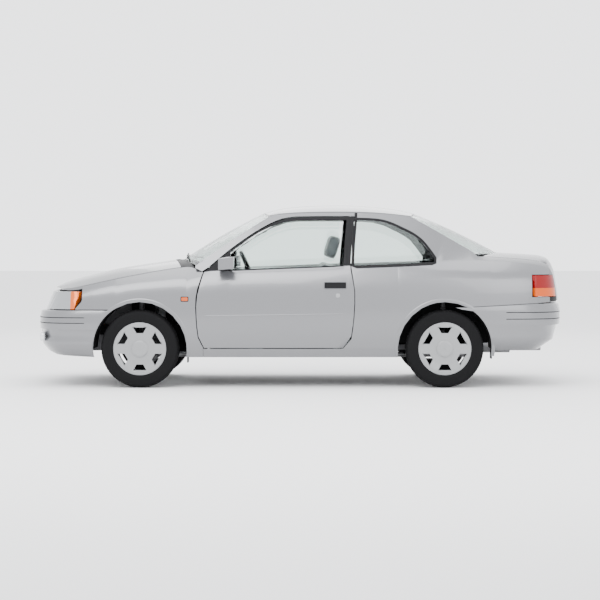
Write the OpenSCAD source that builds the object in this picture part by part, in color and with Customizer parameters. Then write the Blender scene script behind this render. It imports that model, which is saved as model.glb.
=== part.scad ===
// Two-door notchback coupe. Millimetres, +Z up, nose towards -X, left side towards -Y.
// The origin is on the ground, in the middle of the car's length and width.

/* [Overall] */
// Distance between the front and rear axles
wheelbase = 2380; // [2300:10:2860]
// Front axle to the nose
front_overhang = 830; // [690:10:1000]
// Rear axle to the tail
rear_overhang = 950; // [790:10:1150]
// Width over the doors
body_width = 1680; // [1620:10:2020]
// Height of the roof above the ground
roof_height = 1434; // [1360:2:1720]

/* [Wheels] */
// Outer radius of the tyre
tyre_radius = 306; // [270:1:368]
// Width of the tyre
tyre_width = 185; // [155:5:205]
// Radius of the wheel where the tyre sits
rim_radius = 190; // [160:1:200]
// Distance from the car's centre plane to the wheel's middle
half_track = 725; // [700:5:760]
// Radial gap between the tyre and the wheel arch
arch_gap = 60; // [50:1:72]
// Radius of the stub axles
stub_radius = 20; // [16:1:26]

/* [Panels] */
// Shut gap around doors and lids
shut_gap = 7; // [6:0.5:10]
// Thickness of a door below its window
door_depth = 70; // [50:1:85]
// Thickness of the window frames and of the glass surround
frame_depth = 30; // [20:1:40]
// Thickness of the quarter panels
side_depth = 55; // [30:1:66]
// Thickness of the bolted front wings
wing_depth = 5; // [4:1:7]
// Thickness of the bonnet and boot lid
lid_depth = 26; // [18:1:31]
// Thickness of the roof with its lining
roof_depth = 30; // [20:1:36]
// Thickness of the glass
glass_depth = 5; // [4:1:6]
// Thickness of the bumper covers
bumper_depth = 30; // [20:1:36]

/* [Hidden] */

// ---- Stations -------------------------------------------------------------------------------
// The shape below is described at the stations of the standard car, and then stretched to the
// sizes above. Around each wheel the stretch is a plain shift, so that the arches stay round.
NOSE = -2080;
TAIL = 2080;
AXLE_F = -1250;
AXLE_R = 1130;
WIDE = 840;
WAIST = 900;
ROOF = 1434;
shift = (front_overhang - rear_overhang - (AXLE_F - NOSE) + (TAIL - AXLE_R)) / 2;
axle_f = -wheelbase / 2 - 60 + shift;
axle_r = axle_f + wheelbase;
arch_radius = tyre_radius + arch_gap;
wheel_z = tyre_radius;

function between(a, b, t) = a + (b - a) * t;
function limit(x, a, b) = min(max(x, a), b);
function sx(x) = x < -1700 ? axle_f - 450 + (x + 1700) * (front_overhang - 450) / 380
    : x < -850 ? axle_f + (x - AXLE_F)
    : x < 750 ? axle_f + 400 + (x + 850) * (wheelbase - 780) / 1600
    : x < 1580 ? axle_r + (x - AXLE_R)
    : axle_r + 450 + (x - 1580) * (rear_overhang - 450) / 500;
function sy(y) = y * body_width / (2 * WIDE);
function sz(z) = z < WAIST ? z : WAIST + (z - WAIST) * (roof_height - WAIST) / (ROOF - WAIST);
function at(p) = [sx(p.x), sy(p.y), sz(p.z)];

// A smooth curve through a short list of [place, value] points
function step_of(p, x, i = 0) = (i >= len(p) - 2 || x < p[i + 1].x) ? i : step_of(p, x, i + 1);
function slope(p, i) = let(a = p[max(i - 1, 0)], b = p[min(i + 1, len(p) - 1)]) (b.y - a.y) / (b.x - a.x);
function curve(p, x) = let(
    i = step_of(p, x), a = p[i], b = p[i + 1], h = b.x - a.x, t = limit((x - a.x) / h, 0, 1))
    a.y * (1 + 2 * t) * (1 - t) ^ 2 + slope(p, i) * h * t * (1 - t) ^ 2
    + b.y * t * t * (3 - 2 * t) + slope(p, i + 1) * h * t * t * (t - 1);

// ---- Body lines -----------------------------------------------------------------------------
SPINE = [[-2080, 600], [-2066, 670], [-2020, 742], [-1970, 778], [-1870, 826], [-1720, 868],
    [-1480, 924], [-1280, 957], [-1080, 985], [-930, 1008], [-500, 1040], [0, 1055], [500, 1076],
    [1000, 1080], [1300, 1070], [1600, 1054], [1900, 1036], [1975, 1022], [2020, 965],
    [2060, 760], [2080, 600]];
BELT = [[-850, 893], [-755, 903], [-78, 930], [343, 946], [935, 970], [1100, 978], [1400, 990]];
FRAME = [[-760, 905], [-564, 1071], [-448, 1157], [-318, 1242], [-175, 1314], [-77, 1337],
    [0, 1343], [448, 1343], [642, 1330], [772, 1283], [943, 1182], [1077, 1008]];
RAIL = [[-817, 961], [-242, 1340], [-150, 1356], [0, 1366], [300, 1370], [600, 1364], [878, 1339]];
ROOF_SPINE = [[-295, 1372], [-148, 1409], [0, 1426], [160, 1433], [400, 1434], [640, 1418],
    [788, 1400], [927, 1369]];
DOOR_FRONT = [[310, -755], [367, -792], [560, -814], [710, -810], [905, -757]];
DOOR_REAR = [[310, 335], [330, 383], [431, 409], [606, 427], [793, 427], [934, 400], [1345, 434]];
WING_EDGE = [[-1935, 765], [-1800, 770], [-1700, 790], [-1348, 866], [-918, 940],
    [-810, 934], [-757, 906]];
LEAN = [[-900, 0.32], [800, 0.32], [1100, 0.5], [1400, 1.3]];
SILL_LOW = 239;
SILL_TOP = 306;
SILL_TUCK = 55;
SILL_WIDTH = 100;
LASHING_HOLE_RADIUS = 9;
LASHING_HOLE_DEPTH = 60;
BOLDNESS = 5;

function crease(x) = 573 + 0.0144 * x;
function superarc(t) = (1 - limit(t, 0, 1) ^ BOLDNESS) ^ (1 / BOLDNESS);
function plan(x) = (WIDE - 10 * ((x - 200) / 1000) ^ 2)
    * superarc((AXLE_F - x) / (AXLE_F - NOSE)) * superarc((x - AXLE_R) / (TAIL - AXLE_R));
// Half width of the lower body: tucked in below the crease, a superellipse above it
function flank(x, z) = let(c = crease(x)) z < c
    ? plan(x) - SILL_TUCK * ((c - z) / 330) ^ 2
    : plan(x) * (1 - limit((z - c) / (curve(SPINE, x) - c), 0, 1) ^ 5.2) ^ (1 / 3);
// Height of the lower body's top at a distance from the centre plane
function deck(x, y) = crease(x) + (curve(SPINE, x) - crease(x))
    * (1 - limit(abs(y) / plan(x), 0, 1) ^ 3) ^ (1 / 5.2);
// Half width of the glasshouse, leaning in from the belt
function cabin(x, z) = let(b = curve(BELT, x), d = z - b)
    flank(x, b) - curve(LEAN, x) * d - 0.0004 * d * d;
function side(x, z) = (z <= curve(BELT, x) || x > 1400) ? flank(x, z) : cabin(x, z);
function roof(x, y) = let(r = curve(ROOF_SPINE, x), e = curve(RAIL, x))
    r - (r - e) * (abs(y) / cabin(x, e)) ^ 3;
function arch(x, axle) = let(d = abs(x - axle))
    d < arch_radius ? wheel_z + sqrt(arch_radius ^ 2 - d * d) : SILL_LOW;
// Plan curve of the nose or tail at an angle from straight ahead, for a reach and a half width
function polar(angle, reach, half) =
    (abs(cos(angle) / reach) ^ BOLDNESS + abs(sin(angle) / half) ^ BOLDNESS) ^ (-1 / BOLDNESS);
function nose(angle, z, back, in) = let(r = polar(angle, AXLE_F - NOSE - back, WIDE - 20 - in))
    [AXLE_F - r * cos(angle), r * sin(angle), z];
function tail(angle, z, back, in) = let(r = polar(angle, TAIL - AXLE_R - back, WIDE - 9 - in))
    [AXLE_R + r * cos(angle), r * sin(angle), z];

// ---- Shells ---------------------------------------------------------------------------------
// A closed shell between two grids of points. Cells inside the given blocks are left open.
// Each block is [first column, end column, first row, end row].
module shell(outer, inner, blocks = []) {
    ni = len(outer);
    nj = len(outer[0]);
    n = ni * nj;
    function open(i, j) = i < 0 || j < 0 || i >= ni - 1 || j >= nj - 1
        || len([for (b = blocks) if (i >= b[0] && i < b[1] && j >= b[2] && j < b[3]) 1]) > 0;
    function quad(a, b, c, d) = [[a, b, c], [a, c, d]];
    faces = [for (i = [0:ni - 2]) for (j = [0:nj - 2]) if (!open(i, j))
        let(a = i * nj + j, b = a + nj, c = b + 1, d = a + 1)
        each concat(quad(a, b, c, d), quad(d + n, c + n, b + n, a + n),
            open(i, j - 1) ? quad(a, a + n, b + n, b) : [],
            open(i + 1, j) ? quad(b, b + n, c + n, c) : [],
            open(i, j + 1) ? quad(c, c + n, d + n, d) : [],
            open(i - 1, j) ? quad(d, d + n, a + n, a) : [])];
    points = [for (grid = [outer, inner]) for (row = grid) for (p = row) at(p)];
    polyhedron(points, faces, convexity = 6);
}
module both_sides() {
    children();
    mirror([0, 1, 0]) children();
}
module box(low, high) {
    a = at(low);
    b = at(high);
    translate(a) cube(b - a);
}
function steps(n) = [for (i = [0:n]) i / n];

// ---- Left side panels -----------------------------------------------------------------------
function side_point(x, z, depth) = [x, depth - side(x, z), z];
WINDOW_X = [-545, -505, -430, -330, -220, -120, -20, 80, 180, 280, 345];
function glass_top(x) = curve(FRAME, x) - between(22, 32, limit((x + 560) / 560, 0, 1));
// Heights of the door's grid lines at a station
function door_rows(x) = let(b = curve(BELT, x), gap = shut_gap + 3.5 * limit(-(x + 100) / 200, 0, 1),
    t = max(curve(FRAME, x) - gap, b + 4), h = t - b, low = b + min(6, 0.25 * h),
    g = max(min(glass_top(x), t - min(12, 0.25 * h)), b + 0.6 * h))
    concat([for (v = [0, 0.15, 0.3, 0.42, 0.55, 0.7, 0.85, 0.96]) between(SILL_TOP + shut_gap, b, v)],
        [low, between(low, g, 0.5), g, t]);
function door_x(u, z) = between(z < 905 ? curve(DOOR_FRONT, z) + shut_gap + 1 : -745,
    curve(DOOR_REAR, z) - shut_gap, u);
DOOR_U = [0, 0.04, 0.09, for (x = WINDOW_X) (x + 746) / (746 + 400), 0.972, 1];
DOOR_ROWS = 12;
function door_depth_at(j) = j < 8 ? door_depth : frame_depth;
function door_grid(depth_on, taper) = [for (u = DOOR_U) [for (j = [0:DOOR_ROWS - 1])
    let(z0 = door_rows(between(-746, 400, u))[j], x0 = door_x(u, z0),
        z = door_rows(x0)[j], x = door_x(u, z))
    side_point(x + (u == 0 ? taper : u == 1 ? -taper : 0), z, depth_on * door_depth_at(j))]];
module door() {
    color("silver") shell(door_grid(0, 0), door_grid(1, 12), [[3, 13, 8, 10]]);
}
// Clearances of the door glass in its opening: round about, at its top edge and at its rear end
GLASS_CLEAR = 0.5;
GLASS_EDGE = 3.5;
GLASS_END = 8;
module door_glass() {
    function grid(depth) = [for (x = WINDOW_X) let(
        b = curve(BELT, x) + 6 + GLASS_CLEAR, g = max(glass_top(x), b + 8 + GLASS_EDGE) - GLASS_EDGE)
        [for (v = steps(6)) side_point(limit(x, WINDOW_X[0] + 1.5, 345 - GLASS_END), between(b, g, v), depth)]];
    color([0.55, 0.62, 0.6, 0.5]) shell(grid(12), grid(12 + glass_depth));
}

LID_HALF = 585;
LID_LAND = 6;
TAIL_DEPTH = 10;
function bumper_line(x) = between(628, 664, limit((x - 1300) / 660, 0, 1));
function quarter_low(x) = x < AXLE_R - arch_radius ? SILL_TOP
    : x < 1300 ? arch(x, AXLE_R) : max(arch(x, AXLE_R), bumper_line(x) + 4);
function quarter_top(x) = x < 878 ? curve(RAIL, x)
    : x < 1400 ? between(1339, 1041, (x - 878) / 522) : deck(x, LID_HALF + LID_LAND);
QUARTER_X = [0, 0, 520, 620, 700, 763, 765, 777, 813, 871, 947, 1010, 1060, 1130, 1225, 1290, 1340,
    1400, 1447, 1483, 1497, 1580, 1680, 1760, 1812, 1860, 1910, 1960];
POST = 20;
function quarter_x(i, z) = i < 2 ? curve(DOOR_REAR, z) + i * POST : QUARTER_X[i];
function quarter_rows(x) = let(
    low = quarter_low(x), t = quarter_top(x), b = min(curve(BELT, x), t - 30), g = glass_top(x))
    concat(x > 1800 ? [low, 708, 750, 790, 830, 884, 920, b]
        : [for (v = [0, 0.12, 0.25, 0.4, 0.55, 0.7, 0.85, 1]) between(low, b, v)],
    x < 1065 ? [b + 6, between(b + 6, g, 0.5), g, t]
        : [for (v = [0.1, 0.45, 0.8, 1]) between(b, t, v)]);
function quarter_grid(depth_on) = [for (i = [0:len(QUARTER_X) - 1]) [for (j = [0:11])
    let(z0 = quarter_rows(quarter_x(i, 900))[j], z = quarter_rows(quarter_x(i, z0))[j],
        x = quarter_x(i, z))
    side_point(x, z, depth_on * min(x > 1740 ? TAIL_DEPTH : j < 8 ? side_depth : frame_depth,
        x > 1400 ? max(LID_LAND, side(x, z) - LID_HALF) : side_depth))]];
module quarter_panel() {
    color("silver") shell(quarter_grid(0), quarter_grid(1), [[1, 12, 8, 10], [24, 27, 1, 5]]);
}
module quarter_glass() {
    function grid(depth) = [for (i = [1:12]) [for (v = steps(6))
        let(x0 = quarter_x(i, 1000), b = curve(BELT, x0) + 6 + GLASS_CLEAR,
            g = glass_top(x0) - GLASS_CLEAR, z = between(b, g, v),
            x = quarter_x(i, z) + (i == 1 ? 1.5 : i == 12 ? -1.5 : 0))
        side_point(x, z, depth)]];
    color([0.55, 0.62, 0.6, 0.5]) shell(grid(10), grid(10 + glass_depth));
}

WING_X = [-1700, -1650, -1617, -1614, -1600, -1567, -1509, -1451, -1433, -1345, -1250, -1155, -1067,
    -991, -933, -900, -886, -883, -850, -757];
WING_TOP_CUT = 612;
function wing_low(x) = x < -1451 ? WING_TOP_CUT : x < AXLE_F + arch_radius ? arch(x, AXLE_F) : SILL_LOW;
function wing_x(i, z) = i == 0 ? between(-1757, -1700, limit((z - 618) / 60, 0, 1))
    : i == len(WING_X) - 1 ? (z < SILL_TOP ? -757 : curve(DOOR_FRONT, z)) : WING_X[i];
function wing_grid(depth) = [for (i = [0:len(WING_X) - 1]) [for (v = steps(9))
    let(x0 = WING_X[i], z0 = between(wing_low(x0), curve(WING_EDGE, x0), v), x = wing_x(i, z0),
        z = between(wing_low(x), curve(WING_EDGE, x), v))
    [x, depth - flank(x, z), z]]];
module front_wing() {
    color("silver") shell(wing_grid(0), wing_grid(wing_depth));
}
module roof_rail() {
    function grid(depth) = [for (u = steps(24)) let(x = between(-817, 430, u),
        low = x < -757 ? curve(WING_EDGE, x) : curve(FRAME, x), high = curve(RAIL, x) - GLASS_CLEAR)
        [for (v = [0, 0.5, 1]) let(z = between(low, high, v)) [x, depth - cabin(x, z), z]]];
    color("silver") shell(grid(0), grid(frame_depth));
}
module sill() {
    function grid(depth) = [for (x = [-755, -400, 0, 400, 700, AXLE_R - arch_radius - 1])
        [for (z = [SILL_LOW, 260, 285, SILL_TOP - 0.5]) [x, depth - flank(x, z), z]]];
    color("silver") shell(grid(0), grid(SILL_WIDTH));
}

// ---- Panels across the car ------------------------------------------------------------------
ACROSS = [for (i = [-8:8]) i / 8];
module skin(rows, depth) {
    shell(rows, [for (r = rows) [for (p = r) p - [0, 0, depth]]]);
}
function bonnet_point(t, s) = let(x = between(-1970 + 110 * s ^ 4, -1010 + 75 * s * s, t),
    y = s * (flank(x, curve(WING_EDGE, x)) - wing_depth - shut_gap)) [x, y, deck(x, y)];
module bonnet() {
    function depth(t) = between(0.4, 1, min(1, t * 6)) * lid_depth;
    function grid(end, on) = [for (t = steps(14)) [for (s = ACROSS)
        bonnet_point(t * end, -s) - [0, 0, on * depth(t)]]];
    color("silver") shell(grid(1, 0), grid(0.98, 1));
}
module scuttle_panel() {
    color("dimgray")
        skin([for (t = steps(3)) [for (s = ACROSS)
            let(x = between(-1010 + 75 * s * s + shut_gap, -942 + 118 * s * s, t),
                y = -s * (flank(x, curve(WING_EDGE, x)) - wing_depth - 1))
            [x, y, deck(x, y) - 8]]], 18);
}
function screen_point(c0, c1, e0, e1, bulge, t, s) = let(
    x = between(between(c0.x, c1.x, t), between(e0.x, e1.x, t), s * s),
    ze = between(e0.y, e1.y, t), xe = between(e0.x, e1.x, t),
    z = between(between(c0.y, c1.y, t), ze, s * s) + bulge * 4 * t * (1 - t) * (1 - s * s))
    [x, -s * (cabin(xe, ze) - frame_depth - GLASS_CLEAR), z];
module windscreen() {
    color([0.55, 0.62, 0.6, 0.5])
        skin([for (t = steps(10)) [for (s = ACROSS)
            screen_point([-935, 1008], [-297, 1371], [-817, 961], [-244, 1338], 16, t, s)]], glass_depth);
}
module rear_window() {
    color([0.55, 0.62, 0.6, 0.5])
        skin([for (t = steps(10)) [for (s = ACROSS)
            screen_point([929, 1368], [1602, 1053], [880, 1337], [1390, 1046], 14, t, s)]], glass_depth);
}
// The roof sits inside the rails with this much clear at its long edges
ROOF_CLEAR = 1.3;
module roof_panel() {
    color("silver")
        skin([for (t = steps(16)) [for (s = ACROSS)
            let(x = between(-294 + 53 * s * s, 926 - 49 * s * s, t),
                y = -s * (cabin(x, curve(RAIL, x)) - frame_depth - ROOF_CLEAR))
            [x, y, roof(x, y)]]], roof_depth);
}
LIP = [[664, 12], [760, 20], [900, 42], [960, 58], [1000, 80], [1020, 98]];
function lid_back(y, z) = AXLE_R + (TAIL - AXLE_R - curve(LIP, z)) * superarc(abs(y) / (WIDE - 15));
module boot_lid() {
    function half(s) = -s * (LID_HALF - shut_gap - 1);
    function grid(d) = concat(
        [for (t = steps(8)) [for (s = ACROSS) let(y = half(s),
            x = between(1613 - 165 * s * s, lid_back(y, 1015) - 12, t)) [x, y, deck(x, y) - d]]],
        [for (z = [1010, 985, 940, 880, 800, 720, 680]) [for (s = ACROSS) let(y = half(s),
            drop = deck(1975, y) - deck(1975, 0))
            [lid_back(y, z) - d * 1.02, y, z + drop * max(0, (z - 680) / 330) - (z > 1000 ? d * 0.6 : 0)]]]);
    color("silver") shell(grid(0), grid(lid_depth));
}

// ---- Nose and tail --------------------------------------------------------------------------
BOW = [for (i = [-16:16]) i / 16];
function end_angle(z, reach) = let(d = abs(z - wheel_z),
    run = (d < arch_radius ? sqrt(arch_radius ^ 2 - d * d) : 0) + 6) atan2(reach, run);
module front_bumper() {
    ROWS = [[608, 50, 16], [597, 10, 2], [552, 2, 0], [520, 0, 0], [457, 0, 0], [452, 16, 10],
        [395, 30, 18], [368, 14, 8], [338, 20, 12], [290, 62, 40], [262, 110, 70]];
    function grid(d) = [for (r = ROWS) [for (u = BOW)
        let(z = r[0] - (r[0] < 300 ? 24 * abs(u) ^ 2 : 0), a = -u * end_angle(z, WIDE - 20 - r[2] - d))
        nose(a, z, r[1] + d, r[2] + d)]];
    color("silver") shell(grid(0), grid(bumper_depth));
}
module rear_bumper() {
    ROWS = [[664, 34, 6], [650, 8, 1], [600, 0, 0], [540, 0, 0], [492, 0, 0], [486, 22, 8],
        [408, 46, 14], [370, 54, 20], [324, 122, 44], [290, 170, 80]];
    function grid(d) = [for (r = ROWS) [for (u = BOW)
        let(a = u * end_angle(r[0], WIDE - 9 - r[2] - d), p = tail(a, r[0], r[1] + d, r[2] + d))
        [p.x, p.y, r[0] > 640 ? bumper_line(p.x) + r[0] - 664 : r[0]]]];
    color("silver") shell(grid(0), grid(bumper_depth));
}
module nose_band(from, to, low, high, back, in, depth) {
    shell([for (z = [low, (low + high) / 2, high]) let(t = (z - 612) / 150)
            [for (u = steps(10)) nose(-between(from, to, u), z, between(50, 108, t) + back,
                between(8, 62, t) + in)]],
        [for (z = [low, (low + high) / 2, high]) let(t = (z - 612) / 150)
            [for (u = steps(10)) nose(-between(from, to, u), z, between(50, 108, t) + back + depth,
                between(8, 62, t) + in + depth)]]);
}
LAMP_LOW = 614;
LAMP_HIGH = 750;
module headlamp() {
    color([0.9, 0.9, 0.88]) nose_band(57, 25, LAMP_LOW, LAMP_HIGH, 0, 0, 44);
}
module grille() {
    color("dimgray") nose_band(24, -24, LAMP_LOW + 2, LAMP_HIGH, 6, 6, 34);
}
module front_panel() {
    color("gray") nose_band(52, -52, 560, 738, 46, 46, 20);
}
module tail_band(from, to, rows, depth) {
    function grid(d) = [for (r = rows) [for (u = steps(10))
        tail(between(from, to, u), r[0], r[1] + d, r[2] + d)]];
    shell(grid(0), grid(depth));
}
module tail_lamp() {
    color([0.75, 0.1, 0.05]) tail_band(-47.6, -34.8,
        [[714, 14, 8], [779, 22, 10], [830, 30, 14], [878, 40, 20]], 50);
}
module rear_panel() {
    color("silver") tail_band(-46, 46, [[560, 66, 66], [620, 66, 66], [662, 66, 66]], 24);
}

// ---- Wheels ---------------------------------------------------------------------------------
COVER_RADIUS = rim_radius + 17;
FIT = 0.05;
module turned(y) {
    translate([0, y, 0]) rotate([90, 0, 0]) children();
}
// The wheel stands in its own frame, its outer face towards -Y
module wheel() {
    w = tyre_width / 2;
    color("silver") difference() {
        rotate([90, 0, 0]) rotate_extrude($fn = 96) polygon([[stub_radius + FIT, -30],
            [62, -30], [62, 20], [rim_radius - 18, 34], [rim_radius - 14, -w + 10],
            [rim_radius + 4, -w + 4], [rim_radius + 4, -w + 12], [rim_radius, -w + 16],
            [rim_radius, w - 22], [COVER_RADIUS - 3, w - 20], [COVER_RADIUS, w - 10],
            [rim_radius - 6, w - 4], [120, w - 14], [66, w - 14], [62, w - 8], [0, w - 8],
            [0, 44], [stub_radius + FIT, 44]]);
        for (i = [0:5]) rotate([0, 30 + 60 * i, 0])
            translate([0, -10, 0]) rotate([90, 0, 0]) linear_extrude(w + 20)
                polygon([[122, -27], [167, -52], [167, 52], [122, 27]]);
    }
}
module tyre() {
    w = tyre_width / 2;
    r = rim_radius + 0.2;
    color([0.08, 0.08, 0.09]) rotate([90, 0, 0]) rotate_extrude($fn = 96) polygon([[r + 8, -w + 14],
        [r + 30, -w + 4], [r + 58, -w], [tyre_radius - 30, -w + 6], [tyre_radius - 6, -w + 24],
        [tyre_radius, -w + 44], [tyre_radius, w - 44], [tyre_radius - 6, w - 24],
        [tyre_radius - 30, w - 6], [r + 58, w], [r + 30, w - 4], [COVER_RADIUS + 1, w - 10],
        [COVER_RADIUS + 1, w - 26], [r, w - 28], [r, -w + 20]]);
}
module at_wheel(x, right) {
    translate([x, (right ? 1 : -1) * sy(half_track), wheel_z]) mirror([0, right ? 1 : 0, 0]) children();
}
// Upright and the stub axle that a front wheel turns on
module knuckle() {
    color("gray") union() {
        turned(60) cylinder(r = stub_radius, h = 102, $fn = 64);
        translate([-34, 34, -100]) cube([68, 26, 190]);
        translate([-16, 60, -20]) cube([32, 70, 20]);
    }
}

// ---- Running gear ---------------------------------------------------------------------------
module rear_axle() {
    reach = sy(half_track) + 42;
    color("dimgray") {
        translate([axle_r, reach, wheel_z]) rotate([90, 0, 0])
            cylinder(r = stub_radius, h = 2 * reach, $fn = 64);
        translate([axle_r, reach - 80, wheel_z]) rotate([90, 0, 0])
            cylinder(r = 34, h = 2 * (reach - 80), $fn = 48);
        both_sides() {
            translate([sx(720), sy(500), wheel_z - 20]) cube([axle_r - sx(720), 50, 40]);
            translate([sx(720), sy(500), wheel_z]) cube([60, 50, 399.7 - wheel_z]);
            translate([axle_r, sy(580), wheel_z + 10]) cylinder(r = 20, h = arch_radius - 16, $fn = 32);
        }
    }
}
STRUT_Y = 580;
module front_suspension() {
    arm_top = wheel_z - 100.5;
    color("dimgray") {
        translate([axle_f - 80, -sy(440), arm_top - 22]) cube([160, 2 * sy(440), 40]);
        both_sides() {
            translate([axle_f - 22, sy(430), arm_top - 22]) cube([44, sy(700) - sy(430), 22]);
            translate([axle_f - 60, sy(392), arm_top + 18]) cube([120, sy(46), 399.7 - arm_top - 18]);
            translate([axle_f, sy(STRUT_Y), wheel_z + 90.5])
                cylinder(r = 20, h = arch_radius - 90.2, $fn = 32);
        }
    }
}
FLOOR_HALF = 555;
module floor_pan() {
    color("dimgray") {
        translate([0, sy(FLOOR_HALF), 0]) rotate([90, 0, 0]) linear_extrude(2 * sy(FLOOR_HALF))
            polygon([for (p = [[-834, 240], [452, 240], [452, 400], [1940, 400], [1940, 422], [430, 422],
                [430, 262], [-834, 262]]) [sx(p.x), p.y]]);
        both_sides() {
            box([-834, FLOOR_HALF, 240], [700, 675, 262]);
            box([-1900, 390, 480], [-1860, 450, 560]);
        }
        box([-2010, -450, 400], [-860.3, -390, 480]);
        difference() {
            box([-2010, 390, 400], [-860.3, 450, 480]);
            translate(at([-1800, 420, 399]))
                cylinder(r = LASHING_HOLE_RADIUS, h = LASHING_HOLE_DEPTH + 1, $fn = 48);
        }
    }
}
module strut_towers() {
    both_sides() {
        translate([axle_f - 90, sy(390), 480]) cube([180, sy(60), arch_radius + wheel_z - 479]);
        translate([axle_f - 90, sy(390), arch_radius + wheel_z + 0.4]) cube([180, sy(230), 150]);
    }
}
module bulkhead() {
    color("gray") {
        box([-860, -690, 262.3], [-834.3, 690, 900]);
        both_sides() box([-872, 688, SILL_TOP], [-834.3, 738, 870]);
        strut_towers();
    }
}
module arch_liners() {
    module liner(x, inner, outer) {
        both_sides() translate([x, -sy(inner), wheel_z]) rotate([90, 0, 0]) difference() {
            cylinder(r = arch_radius, h = sy(outer) - sy(inner), $fn = 96);
            translate([0, 0, -1]) cylinder(r = arch_radius - 4, h = sy(outer) - sy(inner) + 2, $fn = 96);
            translate([-400, -500, -1]) cube([800, 500, 400]);
            translate([0, 0, sy(STRUT_Y) - sy(inner)]) rotate([-90, 0, 0])
                cylinder(r = 26, h = 500, $fn = 32);
        }
    }
    color([0.1, 0.1, 0.1]) {
        liner(axle_f, 460, 780);
        liner(axle_r, FLOOR_HALF + 0.5, 748);
    }
}
module mud_flaps() {
    color([0.1, 0.1, 0.1]) both_sides() {
        translate([axle_f + arch_radius + GLASS_CLEAR, -sy(764), 196]) cube([10, 100, 234]);
        translate([axle_r + arch_radius + GLASS_CLEAR, -sy(715), 223]) cube([10, 80, 207]);
    }
}
module engine() {
    color("gray") box([-1680, -389.7, 270], [-1130, 389.7, 740]);
}
module exhaust() {
    r = 22;
    color("gray") {
        translate([sx(-1140), sy(200), 205]) rotate([0, 90, 0])
            cylinder(r = r, h = sx(1400) - sx(-1140), $fn = 32);
        translate([sx(-1140), sy(200), 205]) cylinder(r = r, h = 64.7, $fn = 32);
        translate([sx(1360), sy(200), 310]) rotate([0, 90, 0]) cylinder(r = 89.7, h = 380, $fn = 48);
        translate([sx(1700), sy(200), 262]) rotate([0, 90, 0])
            cylinder(r = 24, h = sx(2000) - sx(1700), $fn = 32);
    }
}
module fuel_tank() {
    color("gray") box([480, -440, 252], [712, 440, 399.7]);
}

// ---- Cabin ----------------------------------------------------------------------------------
WHEEL_AT = [-400, 360, 900];
WHEEL_TILT = 25;
module dashboard() {
    color([0.2, 0.2, 0.22]) {
        translate([0, sy(660), 0]) rotate([90, 0, 0]) linear_extrude(2 * sy(660))
            polygon([for (p = [[-834, 600], [-834, 925], [-700, 938], [-560, 915], [-500, 850],
                [-520, 700], [-600, 600]]) [sx(p.x), sz(p.y)]]);
        translate([sx(WHEEL_AT.x), -sy(WHEEL_AT.y), sz(WHEEL_AT.z)]) rotate([0, -WHEEL_TILT - 90, 0]) {
            translate([0, 0, 40]) cylinder(r = 30, h = 140, $fn = 32);
            translate([0, 0, -12]) cylinder(r = 10, h = 60, $fn = 32);
        }
    }
}
module steering_wheel() {
    color([0.12, 0.12, 0.12])
        translate([sx(WHEEL_AT.x), -sy(WHEEL_AT.y), sz(WHEEL_AT.z)]) rotate([0, -WHEEL_TILT - 90, 0])
            difference() {
                union() {
                    rotate_extrude($fn = 64) translate([171, 0]) circle(r = 14, $fn = 24);
                    translate([0, 0, -16]) cylinder(r = 62, h = 44, $fn = 48);
                    for (a = [20, 160, 270]) rotate([0, 0, a + 90])
                        translate([50, -18, -6]) cube([114, 36, 12]);
                }
                translate([0, 0, -12.2]) cylinder(r = 10 + FIT, h = 60, $fn = 32);
            }
}
module seat_shape(width, outline) {
    translate([0, width / 2, 0]) rotate([90, 0, 0]) linear_extrude(width)
        polygon([for (p = outline) [sx(p.x), sz(p.y)]]);
}
SEAT_FLOOR = 262.3;
module front_seats() {
    color([0.35, 0.36, 0.38]) both_sides() translate([0, -sy(360), 0]) {
        seat_shape(500, [[-300, 420], [-320, 500], [-290, 540], [60, 500], [110, 520], [190, 950],
            [230, 985], [300, 985], [330, 960], [230, 440], [180, 400], [-250, 400]]);
        seat_shape(440, [[-240, SEAT_FLOOR], [-240, 410], [160, 410], [160, SEAT_FLOOR]]);
        seat_shape(240, [[212, 1010], [225, 1160], [260, 1190], [300, 1190], [322, 1160], [315, 1010]]);
        seat_shape(100, [[240, 960], [240, 1030], [290, 1030], [290, 960]]);
    }
}
module rear_seat() {
    color([0.35, 0.36, 0.38]) {
        seat_shape(2 * 540, [[470, 422.3], [450, 560], [480, 600], [840, 560], [900, 590], [1010, 930],
            [1040, 950], [1090, 950], [1120, 930], [1040, 422.3]]);
    }
}
module parcel_shelf() {
    color([0.2, 0.2, 0.22]) box([1080, -600, 950.3], [1400, 600, 966]);
}

// ---- Door furniture and trim ----------------------------------------------------------------
module door_mirror() {
    y = sy(side(-540, 930));
    color("silver") hull() {
        translate([sx(-632), -y - 178, 925]) cube([30, 150, 86]);
        translate([sx(-560), -y - 172, 932]) cube([46, 140, 92]);
        translate([sx(-600), -y - 30, 930]) cube([60, 29.7, 14]);
    }
}
module door_handle() {
    y = flank(270, 800);
    color([0.1, 0.1, 0.1]) translate([sx(190), -sy(y) - 16, 780]) cube([168, 15.5, 46]);
}
module wipers() {
    function foot(y, up, back) = let(b = (y / 730) ^ 2) at([-935 + 118 * b + back, y, 1008 - 47 * b + up]);
    color([0.08, 0.08, 0.08]) for (y = [-420, 160]) hull() {
        translate(foot(y, 20, -2)) sphere(r = 8, $fn = 12);
        translate(foot(y + 480, 36, 16)) sphere(r = 6, $fn = 12);
    }
}

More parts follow.
